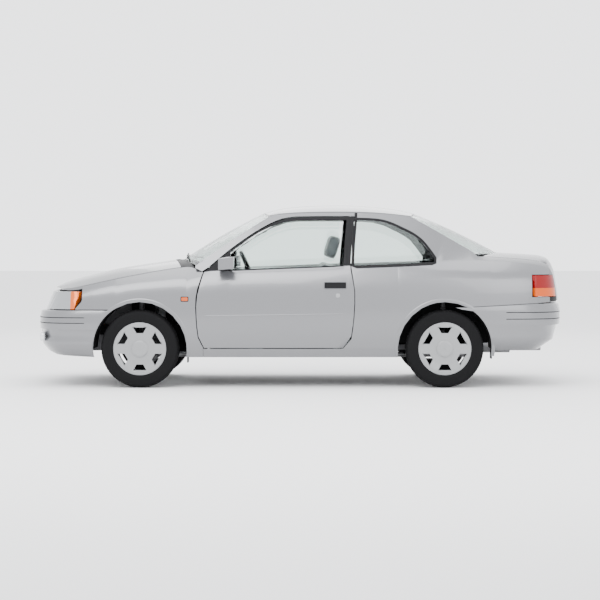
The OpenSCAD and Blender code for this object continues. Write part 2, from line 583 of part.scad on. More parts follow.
// ---- The car --------------------------------------------------------------------------------
module right_side() {
    mirror([0, 1, 0]) children();
}
module rims(front, right) {
    at_wheel(front ? axle_f : axle_r, right) wheel();
}
module tyres(front, right) {
    at_wheel(front ? axle_f : axle_r, right) tyre();
}
floor_pan();
bulkhead();
both_sides() sill();  // sills
both_sides() roof_rail();  // roof_rails
roof_panel();
quarter_panel();  // quarter_panel_left
right_side() quarter_panel();  // quarter_panel_right
front_wing();  // front_wing_left
right_side() front_wing();  // front_wing_right
front_panel();
rear_panel();
front_bumper();
rear_bumper();
scuttle_panel();
windscreen();
rear_window();
both_sides() quarter_glass();  // quarter_windows
both_sides() headlamp();  // headlamps
grille();
both_sides() tail_lamp();  // tail_lamps
wipers();
arch_liners();
mud_flaps();
engine();
dashboard();
front_seats();
rear_seat();
parcel_shelf();
front_suspension();
rear_axle();
exhaust();
fuel_tank();
bonnet();
boot_lid();
door();  // door_left
right_side() door();  // door_right
door_glass();  // door_glass_left
right_side() door_glass();  // door_glass_right
door_mirror();  // mirror_left
right_side() door_mirror();  // mirror_right
door_handle();  // door_handle_left
right_side() door_handle();  // door_handle_right
at_wheel(axle_f, false) knuckle();  // knuckle_left
at_wheel(axle_f, true) knuckle();  // knuckle_right
tyres(true, false);  // tyre_front_left
tyres(true, true);  // tyre_front_right
tyres(false, false);  // tyre_rear_left
tyres(false, true);  // tyre_rear_right
rims(true, false);  // wheel_front_left
rims(true, true);  // wheel_front_right
rims(false, false);  // wheel_rear_left
rims(false, true);  // wheel_rear_right
steering_wheel();
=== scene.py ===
"""Looks of a two-door coupe car: painted panels, glass, lamps, wheels, seats, trim and a stage."""
import math

import bpy
import numpy as np
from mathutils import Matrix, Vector


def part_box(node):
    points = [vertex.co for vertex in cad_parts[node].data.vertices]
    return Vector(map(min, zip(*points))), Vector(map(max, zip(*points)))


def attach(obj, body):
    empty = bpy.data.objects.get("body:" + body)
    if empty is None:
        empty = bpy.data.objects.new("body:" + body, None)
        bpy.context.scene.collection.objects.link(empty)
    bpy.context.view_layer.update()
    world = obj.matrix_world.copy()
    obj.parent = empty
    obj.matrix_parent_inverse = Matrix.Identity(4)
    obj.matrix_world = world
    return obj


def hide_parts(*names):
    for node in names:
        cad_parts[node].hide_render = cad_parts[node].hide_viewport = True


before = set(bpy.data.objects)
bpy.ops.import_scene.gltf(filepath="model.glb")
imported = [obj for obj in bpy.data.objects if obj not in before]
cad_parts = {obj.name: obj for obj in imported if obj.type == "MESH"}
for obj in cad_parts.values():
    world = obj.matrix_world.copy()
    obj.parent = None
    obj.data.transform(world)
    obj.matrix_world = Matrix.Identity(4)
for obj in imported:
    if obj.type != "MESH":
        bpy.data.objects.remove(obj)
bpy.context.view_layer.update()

bl_info = {
    "name": "Coupe Car",
    "version": (1, 0, 0),
    "blender": (4, 5, 0),
    "location": "View3D > Sidebar > Coupe",
    "description": "Dresses the coupe's CAD frame with paint, glass, lamps, seats and trim",
    "category": "Object",
}

MM = 0.001
SIDES = {"left": -1, "right": 1}
SHARP = math.radians(40)
WELD_DISTANCE = 0.00005
WELDED_SHARP = math.radians(32)

# Sizes shared with the CAD part, in millimetres. Reach is how far a bumper stands past its axle.
AXLE_F, AXLE_R, ARCH, HALF_TRACK, TYRE_RADIUS = -1250, 1130, 366, 725, 306
FRONT_REACH, REAR_REACH, FRONT_HALF, REAR_HALF = 830, 950, 820, 831
HALF_WIDTH, GREENHOUSE_END, LINER_INNER, LINER_OUTER = 840, 1400, 572.0, 752.0

# The body's own curves, as in the CAD part: [length station, value].
SPINE = [[-2080, 600], [-2066, 670], [-2020, 742], [-1970, 778], [-1870, 826], [-1720, 868], [-1480, 924],
         [-1280, 957], [-1080, 985], [-930, 1008], [-500, 1040], [0, 1055], [500, 1076], [1000, 1080],
         [1300, 1070], [1600, 1054], [1900, 1036], [1975, 1022], [2020, 965], [2060, 760], [2080, 600]]
BELT = [[-850, 893], [-755, 903], [-78, 930], [343, 946], [935, 970], [1100, 978], [1400, 990]]
FRAME = [[-760, 905], [-564, 1071], [-448, 1157], [-318, 1242], [-175, 1314], [-77, 1337], [0, 1343],
         [448, 1343], [642, 1330], [772, 1283], [943, 1182], [1077, 1008]]
LEAN = [[-900, 0.32], [800, 0.32], [1100, 0.5], [1400, 1.3]]
DOOR_REAR = [[310, 335], [330, 383], [431, 409], [606, 427], [793, 427], [934, 400], [1345, 434]]


def curve(points, x):
    """A cubic through [x, value] points: each span blends its two ends and the slopes there."""
    p, x = np.asarray(points, float), np.asarray(x, float)
    at = np.arange(len(p))
    after, before = np.minimum(at + 1, len(p) - 1), np.maximum(at - 1, 0)
    slope = (p[after, 1] - p[before, 1]) / (p[after, 0] - p[before, 0])
    i = np.clip(np.searchsorted(p[:, 0], x) - 1, 0, len(p) - 2)
    span = p[i + 1, 0] - p[i, 0]
    t = np.clip((x - p[i, 0]) / span, 0, 1)
    return ((2 * t ** 3 - 3 * t ** 2 + 1) * p[i, 1] + (t ** 3 - 2 * t ** 2 + t) * span * slope[i]
            + (3 * t ** 2 - 2 * t ** 3) * p[i + 1, 1] + (t ** 3 - t ** 2) * span * slope[i + 1])


def plan(x):
    """Half width of the body seen from above: a flat barrel whose ends close as fifth-power arcs."""
    def arc(t):
        return (1 - np.clip(t, 0, 1) ** 5) ** 0.2
    barrel = HALF_WIDTH - 10 * ((x - 200) / 1000) ** 2
    return barrel * arc((AXLE_F - x) / FRONT_REACH) * arc((x - AXLE_R) / REAR_REACH)


def crease_height(x):
    """Height of the pressed line along the flank, which rises slowly rearward."""
    return 573 + 0.0144 * x


def side(x, z):
    """Half width of the body at a station and a height: flank up to the belt, leaning cabin above it."""
    x, z = np.broadcast_arrays(np.asarray(x, float), np.asarray(z, float))

    def flank(x, z):
        crease, spine = crease_height(x), curve(SPINE, x)
        up = np.clip((z - crease) / np.maximum(spine - crease, 1), 0, 1)
        return np.where(z < crease, plan(x) - 55 * ((crease - z) / 330) ** 2,
                        plan(x) * (1 - up ** 5.2) ** (1 / 3))
    belt = curve(BELT, x)
    above = z - belt
    cabin = flank(x, belt) - curve(LEAN, x) * above - 0.0004 * above ** 2
    return np.where((z <= belt) | (x > GREENHOUSE_END), flank(x, z), cabin)


def bumper(angle, axle, reach, half, inset):
    """A point of the bumper's outline seen from above: a fifth-power oval round an axle."""
    a, b = reach - inset, half - inset
    r = (np.abs(np.cos(angle) / a) ** 5 + np.abs(np.sin(angle) / b) ** 5) ** -0.2
    return axle + np.sign(axle) * r * np.cos(angle), r * np.sin(angle)


def glass_top(x):
    """Height of the side windows' upper edge: the frame line less a border that widens rearward."""
    return curve(FRAME, x) - 22 - 10 * np.clip((x + 560) / 560, 0, 1)


def surface(name, points, body, material, wrap=(False, True), caps=True, shown=True):
    """A closed mesh through a grid of points in millimetres, rows by columns.
    wrap joins the last row or column to the first; caps closes the end rows on their middle points."""
    rows, cols = points.shape[:2]
    index = np.arange(rows * cols).reshape(rows, cols)
    down = np.roll(index, -1, 0) if wrap[0] else index[1:]
    here = index if wrap[0] else index[:-1]
    quads = np.stack([here, down, np.roll(down, -1, 1), np.roll(here, -1, 1)], -1)
    quads = quads if wrap[1] else quads[:, :-1]
    faces = quads.reshape(-1, 4).tolist()
    flat = points.reshape(-1, 3)
    if caps and not wrap[0]:
        flat = np.vstack([flat, points[0].mean(0), points[-1].mean(0)])
        first, last, size = index[0], index[-1], rows * cols
        faces += np.stack([np.full(cols, size), first, np.roll(first, -1)], 1).tolist()
        faces += np.stack([np.full(cols, size + 1), np.roll(last, -1), last], 1).tolist()
    mesh = bpy.data.meshes.new(name)
    mesh.from_pydata((flat * MM).tolist(), [], faces)
    mesh.validate()
    outward(mesh)
    mesh.shade_smooth()
    mesh.set_sharp_from_angle(angle=SHARP)
    return place(name, mesh, body, material)


def outward(mesh):
    """Turns the faces over when the enclosed volume, summed over triangles, is negative."""
    mesh.calc_loop_triangles()
    co = np.empty(len(mesh.vertices) * 3)
    mesh.vertices.foreach_get("co", co)
    tri = np.empty(len(mesh.loop_triangles) * 3, int)
    mesh.loop_triangles.foreach_get("vertices", tri)
    a, b, c = co.reshape(-1, 3)[tri.reshape(-1, 3)].transpose(1, 0, 2)
    if np.einsum("ij,ij->i", a, np.cross(b, c)).sum() < 0:
        mesh.flip_normals()


def place(name, mesh, body, material):
    """Links a mesh as an object at the origin, gives it its finish and puts it on its body."""
    piece = bpy.data.objects.new(name, mesh)
    bpy.context.scene.collection.objects.link(piece)
    mesh.materials.append(material)
    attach(piece, body)
    return piece


def superform(centre, half, power=0.35, turn=0.0, rows=28, cols=48):
    """A rounded block: a sphere whose sines and cosines are raised to a power below one, which fills
    its box; the bottom and top rows close on their middles. turn tilts it about the width axis."""
    v = np.linspace(-np.pi / 2 + 0.02, np.pi / 2 - 0.02, rows)[:, None]
    u = np.linspace(0, 2 * np.pi, cols, endpoint=False)[None]

    def soft(w):
        return np.sign(w) * np.abs(w) ** power
    x, y = soft(np.cos(v)) * soft(np.cos(u)), soft(np.cos(v)) * soft(np.sin(u))
    z = soft(np.sin(v)) * np.ones_like(u)
    p = np.stack([x * half[0], y * half[1], z * half[2]], -1)
    c, s = math.cos(turn), math.sin(turn)
    return np.stack([p[..., 0] * c + p[..., 2] * s, p[..., 1], p[..., 2] * c - p[..., 0] * s], -1) + centre


def on_side(sign, outline, width, height, sink=2.5, columns=9):
    """A raised rim on the body side: an outline of (station, height) grows outward by width while its
    middle stands proud by height as a half sine; the back runs inside the panel to close it."""
    p = np.asarray(outline, float)
    along = np.roll(p, -1, 0) - np.roll(p, 1, 0)
    length = np.maximum(np.linalg.norm(along, axis=1), 1e-6)[:, None]
    normal = np.stack([along[:, 1], -along[:, 0]], 1) / length
    area = 0.5 * np.sum(p[:, 0] * np.roll(p[:, 1], -1) - np.roll(p[:, 0], -1) * p[:, 1])
    normal = normal * np.sign(area)
    s = np.linspace(0, 1, columns)
    front = p[:, None] + normal[:, None] * (width * s)[None, :, None]
    y = side(front[..., 0], front[..., 1])
    top = np.stack([front[..., 0], sign * (y + height * np.sin(np.pi * s)[None] ** 0.6), front[..., 1]], -1)
    back = np.stack([front[..., 0], sign * (y - sink), front[..., 1]], -1)[:, ::-1]
    return np.concatenate([top, back], 1)


def arch_lip(sign, axle, width, proud, sink=2.5):
    """A lip round a wheel arch: a half-sine bead between two circles about the axle, laid on the body
    side from sill height over the top and down again, with a back inside the panel."""
    start = math.asin((250 - TYRE_RADIUS) / ARCH)
    angle = np.linspace(start, math.pi - start, 120)[:, None]
    s = np.linspace(0, 1, 9)[None]
    reach = ARCH + 1 + width * s
    x, z = axle + reach * np.cos(angle), TYRE_RADIUS + reach * np.sin(angle)
    y = side(x, z)
    front = np.stack([x, sign * (y + proud * np.sin(np.pi * s) ** 0.6), z], -1)
    back = np.stack([x, sign * (y - sink), z], -1)[:, ::-1]
    return np.concatenate([front, back], 1)


def arch_shade(sign, axle):
    """The dark roof of a wheel arch: a band between two circles about the axle, as wide as its liner."""
    angle = np.linspace(math.radians(4), math.radians(176), 72)[:, None]
    reach = np.array([[ARCH - 4.0, ARCH - 4.0, ARCH + 4.0, ARCH + 4.0]])
    y = np.array([[LINER_INNER, LINER_OUTER, LINER_OUTER, LINER_INNER]]) * sign * np.ones_like(angle)
    return np.stack([axle + reach * np.cos(angle), y, TYRE_RADIUS + reach * np.sin(angle)], -1)


def wheelhouse_wall(sign, axle):
    """The dark inner wall behind a rear wheel: the upper part of a flat ring about the axle."""
    angle = np.linspace(math.radians(6), math.radians(174), 60)[:, None]
    reach = np.array([[110.0, ARCH - 5.0, ARCH - 5.0, 110.0]])
    y = np.array([[LINER_INNER, LINER_INNER, LINER_INNER - 6, LINER_INNER - 6]]) * sign * np.ones_like(angle)
    return np.stack([axle + reach * np.cos(angle), y, TYRE_RADIUS + reach * np.sin(angle)], -1)


def hub_relief(axle, sign, face):
    """The wheel cover's plain centre disc: a low section with rounded edge, turned about the axle."""
    angle = np.linspace(0, 2 * np.pi, 96, endpoint=False)[:, None]
    radius = np.array([[4.0, 46.0, 58.0, 63.0, 64.0, 4.0]])
    height = np.array([[6.0, 6.0, 5.0, 2.5, -2.0, -2.0]])
    y = sign * (face + height) * np.ones_like(angle)
    return np.stack([axle + radius * np.cos(angle), y, TYRE_RADIUS + radius * np.sin(angle)], -1)


def rim_bead(axle, sign, face, radius=198.0):
    """A rounded bead round the wheel cover: a small oval section turned about the axle."""
    angle = np.linspace(0, 2 * np.pi, 144, endpoint=False)[:, None]
    t = np.linspace(0, 2 * np.pi, 12, endpoint=False)[None]
    r = radius + 6.0 * np.cos(t)
    y = sign * (face + 2.5 * np.sin(t)) * np.ones_like(angle)
    return np.stack([axle + r * np.cos(angle), y, TYRE_RADIUS + r * np.sin(angle)], -1)


def arc_strip(angles, z, axle, reach, half, inset, thick, tall):
    """A strip that runs round a bumper at one height: its oval section travels along the outline."""
    t = np.linspace(0, 2 * np.pi, 12, endpoint=False)[None]
    x, y = bumper(angles[:, None], axle, reach, half, inset - thick * np.cos(t))
    return np.stack([x, y, z + tall * np.sin(t) * np.ones_like(x)], -1)


def node_tree(material):
    """The material's node tree and its surface shader."""
    material.use_nodes = True
    tree = material.node_tree
    shader = tree.nodes["Principled BSDF"]
    return tree, shader


def finish(name, colour, rough, metal=0.0, grain=None, bump=0.0, bands=None, **sockets):
    """A finish on object coordinates. grain is the scale of a noise that moves the roughness a little and
    drives a bump; bands is (scale, axis, bump) of ribs; other sockets are set on the shader itself."""
    material = bpy.data.materials.new(name)
    tree, shader = node_tree(material)
    shader.inputs["Base Color"].default_value = (*colour[:3], 1)
    shader.inputs["Metallic"].default_value = metal
    shader.inputs["Roughness"].default_value = rough
    for key, value in sockets.items():
        shader.inputs[key.replace("_", " ")].default_value = value
    coords = tree.nodes.new("ShaderNodeTexCoord")
    height = None
    if grain:
        noise = tree.nodes.new("ShaderNodeTexNoise")
        noise.inputs["Scale"].default_value = grain
        noise.inputs["Detail"].default_value = 4
        tree.links.new(coords.outputs["Object"], noise.inputs["Vector"])
        spread = tree.nodes.new("ShaderNodeMapRange")
        spread.inputs["To Min"].default_value = max(rough - 0.06, 0)
        spread.inputs["To Max"].default_value = min(rough + 0.06, 1)
        tree.links.new(noise.outputs["Fac"], spread.inputs["Value"])
        tree.links.new(spread.outputs["Result"], shader.inputs["Roughness"])
        height, strength = noise.outputs["Fac"], bump
    if bands:
        wave = tree.nodes.new("ShaderNodeTexWave")
        wave.bands_direction = bands[1]
        wave.inputs["Scale"].default_value = bands[0]
        tree.links.new(coords.outputs["Object"], wave.inputs["Vector"])
        height, strength = wave.outputs["Fac"], bands[2]
    if height is not None and strength:
        relief = tree.nodes.new("ShaderNodeBump")
        relief.inputs["Strength"].default_value = strength
        relief.inputs["Distance"].default_value = 0.002
        tree.links.new(height, relief.inputs["Height"])
        tree.links.new(relief.outputs["Normal"], shader.inputs["Normal"])
    return material


def split_colour(material, axis, at, low, high):
    """Paints two colours that part on a plane of object coordinates, as a lamp's chambers do."""
    tree, shader = node_tree(material)
    coords, parts = tree.nodes.new("ShaderNodeTexCoord"), tree.nodes.new("ShaderNodeSeparateXYZ")
    test, mix = tree.nodes.new("ShaderNodeMath"), tree.nodes.new("ShaderNodeMix")
    test.operation, mix.data_type = "GREATER_THAN", "RGBA"
    test.inputs[1].default_value = at
    tree.links.new(coords.outputs["Object"], parts.inputs["Vector"])
    tree.links.new(parts.outputs[axis], test.inputs[0])
    tree.links.new(test.outputs[0], mix.inputs["Factor"])
    mix.inputs["A"].default_value, mix.inputs["B"].default_value = (*low, 1), (*high, 1)
    tree.links.new(mix.outputs["Result"], shader.inputs["Base Color"])
    return material


def skin(node, name, body, materials, choose=None):
    """A welded copy of a CAD node: shared corners shade smooth below 32 degrees and stay sharp above.
    choose maps face middles in millimetres to the index of a material."""
    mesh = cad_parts[node].data.copy()
    mesh.name = name
    mesh.materials.clear()
    piece = place(name, mesh, body, materials[0])
    for extra in materials[1:]:
        mesh.materials.append(extra)
    weld = piece.modifiers.new("weld", "WELD")
    weld.merge_threshold = WELD_DISTANCE
    graph = bpy.context.evaluated_depsgraph_get()
    joined = bpy.data.meshes.new_from_object(piece.evaluated_get(graph))
    piece.modifiers.clear()
    piece.data = joined
    joined.shade_smooth()
    joined.set_sharp_from_angle(angle=WELDED_SHARP)
    index = np.zeros(len(joined.polygons), np.int32)
    if choose:
        middle = np.empty(len(joined.polygons) * 3)
        joined.polygons.foreach_get("center", middle)
        index[:] = choose(middle.reshape(-1, 3) / MM)
    joined.polygons.foreach_set("material_index", index)
    even = piece.modifiers.new("even", "WEIGHTED_NORMAL")
    even.keep_sharp = True
    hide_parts(node)
    return piece


class CoupeLooks(bpy.types.PropertyGroup):
    """Colours and small sizes of the coupe's looks."""
    paint: bpy.props.FloatVectorProperty(
        name="Paint", description="Silver metallic body colour", size=3, subtype="COLOR",
        default=(0.19, 0.192, 0.20))
    glass: bpy.props.FloatVectorProperty(
        name="Glass", description="Tint of the window glass", size=3, subtype="COLOR",
        default=(0.80, 0.88, 0.85))
    cloth: bpy.props.FloatVectorProperty(
        name="Seat cloth", description="Colour of the woven seat covers", size=3, subtype="COLOR",
        default=(0.10, 0.105, 0.115))
    black: bpy.props.FloatVectorProperty(
        name="Black trim", description="Colour of window frames, handles and flaps", size=3,
        subtype="COLOR", default=(0.005, 0.005, 0.006))
    seal_width: bpy.props.FloatProperty(
        name="Seal width", description="Width of the quarter window's black rim, mm", default=20.0)
    flare_width: bpy.props.FloatProperty(
        name="Flare width", description="Width of the raised lip round a wheel arch, mm", default=26.0)


FINISHES = {}


def looks():
    """The scene's colours and sizes."""
    return bpy.context.scene.coupe_looks


class COUPE_OT_finishes(bpy.types.Operator):
    """Makes every finish from the scene's colours"""
    bl_idname = "coupe.finishes"
    bl_label = "Finishes"

    def execute(self, context):
        c = looks()
        f = FINISHES
        f["paint"] = finish("silver_paint", c.paint, 0.30, 0.85, 900, 0.04,
                            Coat_Weight=0.7, Coat_Roughness=0.05)
        f["glass"] = finish("window_glass", c.glass, 0.0, 0.0,
                            Transmission_Weight=1.0, IOR=1.1, Alpha=0.82)
        f["black"] = finish("black_trim", c.black, 0.5, 0.0, 260, 0.08, Specular_IOR_Level=0.15)
        # Black underbody coat of the floor, tank and liners; the same dark colour is also painted shade in
        # the bumpers' grooves and the wheel arches
        f["dark"] = finish("underbody_coat_and_painted_shade", (0.006, 0.006, 0.0065), 0.85, 0.0, 70, 0.3,
                           Specular_IOR_Level=0.1)
        f["steel"] = finish("bare_steel", (0.32, 0.32, 0.33), 0.45, 0.9, 120, 0.1)
        f["iron"] = finish("cast_iron", (0.09, 0.09, 0.095), 0.7, 0.6, 180, 0.35)
        f["cover"] = finish("wheel_cover_silver", (0.24, 0.245, 0.25), 0.36, 0.3, 600, 0.03,
                            Coat_Weight=0.3)
        f["rubber"] = finish("tyre_rubber", (0.0045, 0.0045, 0.005), 0.8, 0.0, 220, 0.18,
                             Specular_IOR_Level=0.12)
        f["cloth"] = finish("seat_cloth", c.cloth, 0.9, 0.0, 420, 0.5, Sheen_Weight=0.35)
        f["head"] = split_colour(finish("headlamp_lens", (0.8, 0.8, 0.8), 0.16, 0.5, bands=(6, "Y", 0.7),
                                        Coat_Weight=0.6),
                                 "X", -1.795, (0.27, 0.28, 0.29), (0.62, 0.11, 0.004))
        f["tail"] = split_colour(finish("tail_lens", (0.5, 0.02, 0.02), 0.3, bands=(5, "Z", 0.5),
                                        Specular_IOR_Level=0.2, Coat_Weight=0.2),
                                 "Z", 0.779, (0.52, 0.075, 0.003), (0.20, 0.0015, 0.002))
        f["amber"] = finish("amber_lens", (0.50, 0.075, 0.003), 0.3, bands=(9, "X", 0.4), Coat_Weight=0.2)
        f["fog"] = finish("fog_lens", (0.72, 0.74, 0.76), 0.15, 0.3, bands=(8, "Y", 0.5), Coat_Weight=1.0)
        return {"FINISHED"}


PAINTED = {"bonnet": "bonnet", "boot_lid": "boot_lid", "roof_panel": "root", "roof_rails": "root",
           "sills": "root", "front_wing_left": "root", "front_wing_right": "root", "front_panel": "root",
           "rear_panel": "root", "front_bumper": "root", "rear_bumper": "root"}
BLACK = {"scuttle_panel": "root", "grille": "root", "wipers": "root", "mud_flaps": "root",
         "dashboard": "root", "parcel_shelf": "root", "steering_wheel": "steering_wheel",
         "door_handle_left": "door_left", "door_handle_right": "door_right"}
PLAIN = {"floor_pan": "dark", "bulkhead": "dark", "arch_liners": "dark", "fuel_tank": "dark",
         "engine": "iron", "exhaust": "steel", "front_suspension": "iron", "rear_axle": "iron",
         "knuckle_left": "iron", "knuckle_right": "iron"}
GLAZED = ["windscreen", "rear_window", "quarter_windows", "door_glass_left", "door_glass_right"]


class COUPE_OT_panels(bpy.types.Operator):
    """Shades the painted and black panels; window frames turn black above the belt line"""
    bl_idname = "coupe.panels"
    bl_label = "Body panels"

    def execute(self, context):
        f = FINISHES
        for node, body in PAINTED.items():
            skin(node, "painted_" + node, body, [f["paint"]])
        for node, body in BLACK.items():
            skin(node, "trim_" + node, body, [f["black"]])
        for end in SIDES:
            skin("door_" + end, "door_skin_" + end, "door_" + end, [f["paint"], f["black"]],
                 lambda p: (p[:, 2] > curve(BELT, p[:, 0]) + 1).astype(np.int32))
            skin("quarter_panel_" + end, "quarter_skin_" + end, "root", [f["paint"], f["black"]],
                 quarter_black)
            skin("mirror_" + end, "mirror_shell_" + end, "door_" + end, [f["paint"]])
        return {"FINISHED"}


def quarter_black(p):
    """1 for the door pillar's faces above the belt and inside the quarter window's rim, else 0."""
    x, z = p[:, 0], p[:, 2]
    pillar = (x < curve(DOOR_REAR, z) + 22) & (z > curve(BELT, x) + 1)
    inner = (x < 1050) & (z > curve(BELT, x) + 3) & (z < glass_top(x) + 3)
    return (pillar | inner).astype(np.int32)


class COUPE_OT_plain(bpy.types.Operator):
    """Gives the hidden structure, the glass and the lamps their finishes"""
    bl_idname = "coupe.plain"
    bl_label = "Glass, lamps and structure"

    def execute(self, context):
        for node, key in PLAIN.items():
            repaint(node, FINISHES[key])
        for node in GLAZED:
            repaint(node, FINISHES["glass"])
        skin("headlamps", "headlamp_lenses", "root", [FINISHES["head"]])
        skin("tail_lamps", "tail_lamp_lenses", "root", [FINISHES["tail"]])
        return {"FINISHED"}


def repaint(node, material):
    """Puts a finish in a CAD node's material slot; its mesh stays as it is."""
    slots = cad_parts[node].data.materials
    if len(slots):
        slots[0] = material
    else:
        slots.append(material)


# How far outside the wheel's middle its silver cover starts, in millimetres.
COVER_START = 44


class COUPE_OT_wheels(bpy.types.Operator):
    """Shades the wheels and builds treaded tyres"""
    bl_idname = "coupe.wheels"
    bl_label = "Wheels and tyres"

    def execute(self, context):
        for end, axle in (("front", AXLE_F), ("rear", AXLE_R)):
            for hand, sign in SIDES.items():
                body = f"wheel_{end}_{hand}"
                skin(body, f"rim_{end}_{hand}", body, [FINISHES["cover"], FINISHES["dark"]],
                     lambda p, s=sign: (s * p[:, 1] < HALF_TRACK + COVER_START).astype(np.int32))
                tread = surface(f"tread_{end}_{hand}", tyre_points(axle, sign), body, FINISHES["rubber"],
                                wrap=(True, True), caps=False)
                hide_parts(f"tyre_{end}_{hand}")
                low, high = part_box(body)
                face = max(abs(low.y), abs(high.y)) / MM
                surface(f"hub_disc_{end}_{hand}", hub_relief(axle, sign, face - 4), body, FINISHES["cover"],
                        wrap=(True, True), caps=False)
                surface(f"rim_bead_{end}_{hand}", rim_bead(axle, sign, face - 4), body, FINISHES["cover"],
                        wrap=(True, True), caps=False)
        return {"FINISHED"}


def tyre_points(axle, sign, turns=288):
    """A tyre: a rounded section turned about the axle. Four grooves circle the tread, and slanting cuts
    in the shoulders are a wave of the angle that leans with the distance from the middle."""
    low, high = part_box("tyre_front_left" if axle < 0 else "tyre_rear_left")
    half = (high.y - low.y) / 2 / MM
    middle = -(high.y + low.y) / 2 / MM
    section = np.linspace(0, 2 * np.pi, 120, endpoint=False)
    inner, crown = 192.0, TYRE_RADIUS - 0.5
    across = np.sign(np.sin(section)) * np.abs(np.sin(section)) ** 0.62 * (half - 0.6)
    rise = 0.5 + 0.5 * np.sign(np.cos(section)) * np.abs(np.cos(section)) ** 0.42
    radius = inner + (crown - inner) * rise
    angle = np.linspace(0, 2 * np.pi, turns, endpoint=False)[:, None]
    on_tread = np.clip((rise - 0.86) / 0.08, 0, 1)[None]
    groove = (np.abs((np.abs(across) % 34) - 17) < 3.2)[None] & (np.abs(across)[None] < 62)
    cut = (np.sin(angle * 72 + across[None] * 0.06) > 0.72) & (np.abs(across)[None] > 24)
    r = radius[None] - on_tread * np.where(groove | cut, 5.5, 0)
    ring = 1.2 * np.exp(-((radius - 262) / 3) ** 2)[None]
    wide = across[None] + np.sign(across)[None] * (ring - 1.2)
    y = sign * (middle + wide) * np.ones_like(angle)
    return np.stack([axle + r * np.cos(angle), y, TYRE_RADIUS + r * np.sin(angle)], -1)


# Half sizes of a number plate, in millimetres: thickness, width and height.
PLATE = (3, 260, 55)


class COUPE_OT_trim(bpy.types.Operator):
    """Builds rims, lips, lenses and strips that sit on the body side and bumpers; the bumpers' two dark
    strips are painted shade standing in for their grooves
    """
    bl_idname = "coupe.trim"
    bl_label = "Trim and small lamps"

    def execute(self, context):
        c, f = looks(), FINISHES
        for hand, sign in SIDES.items():
            window = quarter_outline()
            surface("quarter_rim_" + hand, on_side(sign, window, c.seal_width, 2.0), "root", f["black"],
                    wrap=(True, True), caps=False)
            belt_strip(hand, sign)
            for end, axle in (("front", AXLE_F), ("rear", AXLE_R)):
                lip = arch_lip(sign, axle, c.flare_width, 3.0)
                surface(f"arch_lip_{end}_{hand}", lip, "root", f["paint"])
                surface(f"arch_shade_{end}_{hand}", arch_shade(sign, axle), "root", f["dark"])
            amber = np.array([-899, sign * (side(-899, 694) - 1), 694])
            surface("repeater_frame_" + hand, superform(amber, (31, 4, 20), 0.3), "root", f["black"])
            surface("repeater_lens_" + hand, superform(amber + (0, sign * 2.5, 0), (25, 4, 14), 0.3), "root",
                    f["amber"])
            crease_bead(hand, sign)
            lock = np.array([295, sign * (side(295, 722) - 1), 722])
            surface("door_lock_" + hand, superform(lock, (17, 4, 17), 0.8), "door_" + hand, f["steel"])
            x, y = bumper(math.radians(38), AXLE_F, FRONT_REACH, FRONT_HALF, 2)
            lamp = superform(np.array([float(x) + 6, sign * float(y) - sign * 6, 395]), (22, 62, 34), 0.5)
            surface("fog_lamp_" + hand, lamp, "root", f["fog"])
            surface("wheelhouse_wall_" + hand, wheelhouse_wall(sign, AXLE_R), "root", f["dark"])
            angles = sign * np.radians(np.linspace(33, 50, 40))
            surface("lamp_base_" + hand, arc_strip(angles, 691, AXLE_R, REAR_REACH, REAR_HALF, 20, 5.0, 21.0),
                    "root", f["black"])
        # Painted shade: two thin dark tubes round each bumper stand in for the shade inside its grooves
        for name, axle, reach, half, inset, ends, levels in (
                ("front", AXLE_F, FRONT_REACH, FRONT_HALF, 0.5, 62, (548, 505)),
                ("rear", AXLE_R, REAR_REACH, REAR_HALF, 0.5, 60, (590, 538))):
            for level, z in enumerate(levels):
                angles = np.radians(np.linspace(-ends, ends, 160))
                surface(f"{name}_bumper_groove_shade_{level}",
                        arc_strip(angles, z, axle, reach, half, inset, 1.5, 3.0),
                        "root", f["dark"])
        for name, x, z in (("front", -2079, 470), ("rear", 2079, 560)):
            surface(name + "_plate", superform(np.array([x, 0, z]), PLATE, 0.12), "root", f["cover"])
        return {"FINISHED"}


def quarter_outline(n=40):
    """The quarter window's edge: up the pillar, back along the frame line, forward along the belt."""
    x = np.linspace(425, 1050, n)
    front_low = curve(BELT, x[0]) + 6
    top = np.stack([x, glass_top(x)], 1)
    low = np.stack([x, np.minimum(curve(BELT, x) + 6, glass_top(x) - 3)], 1)[::-1]
    pillar = np.linspace([x[0], front_low], top[0], 10)[1:-1]
    return np.concatenate([pillar, top, low])


def belt_strip(hand, sign):
    """The rubber strip along the door's window sill: an oval section that follows the belt line."""
    x = np.linspace(-560, 340, 90)[:, None]
    t = np.linspace(0, 2 * np.pi, 12, endpoint=False)[None]
    z = curve(BELT, x) + 4 + 6 * np.sin(t)
    y = sign * (side(x, curve(BELT, x)) + 2.5 * np.cos(t) - 1.5)
    points = np.stack([x * np.ones_like(t), y, z], -1)
    surface("belt_strip_" + hand, points, "door_" + hand, FINISHES["black"])


def crease_bead(hand, sign):
    """The pressed line along the door: a slim oval bead that follows the flank's crease."""
    x = np.linspace(-735, 335, 120)[:, None]
    t = np.linspace(0, 2 * np.pi, 12, endpoint=False)[None]
    line = crease_height(x)
    points = np.stack([x * np.ones_like(t), sign * (side(x, line) + 1.6 * np.cos(t) - 0.6),
                       line + 5 * np.sin(t)], -1)
    surface("crease_bead_" + hand, points, "door_" + hand, FINISHES["paint"])


# Backward lean of the seat backs, in radians.
RAKE = 0.30


